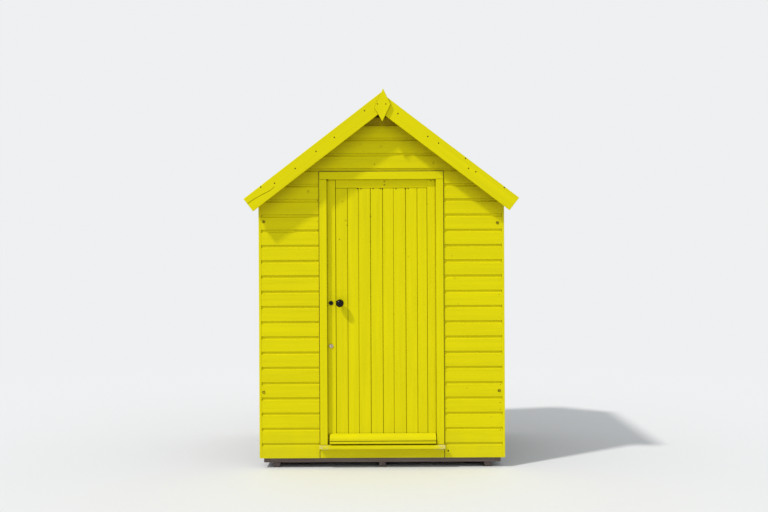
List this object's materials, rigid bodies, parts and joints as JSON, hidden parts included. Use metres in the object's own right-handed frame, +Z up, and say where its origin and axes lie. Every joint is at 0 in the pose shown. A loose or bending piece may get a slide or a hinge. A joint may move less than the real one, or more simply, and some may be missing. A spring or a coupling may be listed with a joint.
{
  "type": "timber beach hut",
  "caption": "Small gabled timber beach hut with a boarded front, felted roof, bargeboards, a diamond finial and one boarded door that swings inwards.",
  "frame": {"origin": "on the ground, under the middle of the plan, on the underside of the middle ground bearer", "axes": "+Z up, the door is in the wall at -Y, +X to the right for someone facing it"},
  "size_m": [2.0244, 1.857, 2.8074],
  "materials": {
    "yellow_paint": "satin",
    "weathered_boards": "rough",
    "weathered_base": "rough",
    "bare_timber": "matte",
    "roof_felt": "rough",
    "hinge_steel": "satin",
    "black_iron": "gloss"
  },
  "bodies": {
    "root": {"front_cladding_left": "yellow_paint", "front_cladding_right": "yellow_paint", "front_cladding_gable": "yellow_paint", "apron_board": "yellow_paint", "corner_strips": "yellow_paint", "ridge_cap_left": "yellow_paint", "ridge_cap_right": "yellow_paint", "bargeboard_front_left": "yellow_paint", "bargeboard_front_right": "yellow_paint", "bargeboard_back_left": "yellow_paint", "bargeboard_back_right": "yellow_paint", "finial": "yellow_paint", "door_sill": "yellow_paint", "door_jamb_left": "yellow_paint", "door_jamb_right": "yellow_paint", "door_head": "yellow_paint", "left_cladding": "weathered_boards", "right_cladding": "weathered_boards", "back_cladding": "weathered_boards", "ground_bearers": "weathered_base", "floor_side_rims": "weathered_base", "floor_joists": "weathered_base", "floor_boards": "bare_timber", "end_bottom_plates": "bare_timber", "side_bottom_plates": "bare_timber", "front_studs": "bare_timber", "side_studs": "bare_timber", "back_studs": "bare_timber", "eaves_plates": "bare_timber", "gable_head_rails": "bare_timber", "gable_king_posts": "bare_timber", "gable_rafters": "bare_timber", "ridge_beam": "bare_timber", "purlins": "bare_timber", "verge_battens": "bare_timber", "roof_boards_left": "bare_timber", "roof_boards_right": "bare_timber", "roof_felt_left": "roof_felt", "roof_felt_right": "roof_felt", "frame_hinge_plates": "hinge_steel", "lock_keeps": "black_iron"},
    "door": {"door_stiles": "yellow_paint", "door_rails": "yellow_paint", "door_braces": "yellow_paint", "door_boards": "yellow_paint", "door_weatherboard": "yellow_paint", "door_hinge_plates": "hinge_steel", "lock_cases": "black_iron", "lock_plates": "black_iron"},
    "knob": {"door_knob": "black_iron"}
  },
  "joints": [
    {"name": "door_swing", "type": "hinge", "parent": "root", "child": "door", "pos_m": [0.4225, -0.739, 1.172], "axis": [0, 0, -1], "range_deg": [0, 100]},
    {"name": "knob_turn", "type": "hinge", "parent": "door", "child": "knob", "pos_m": [-0.311, -0.79, 1.229], "axis": [0, 1, 0], "range_deg": [-60, 60], "stiffness_Nm_per_rad": 0.3}
  ]
}
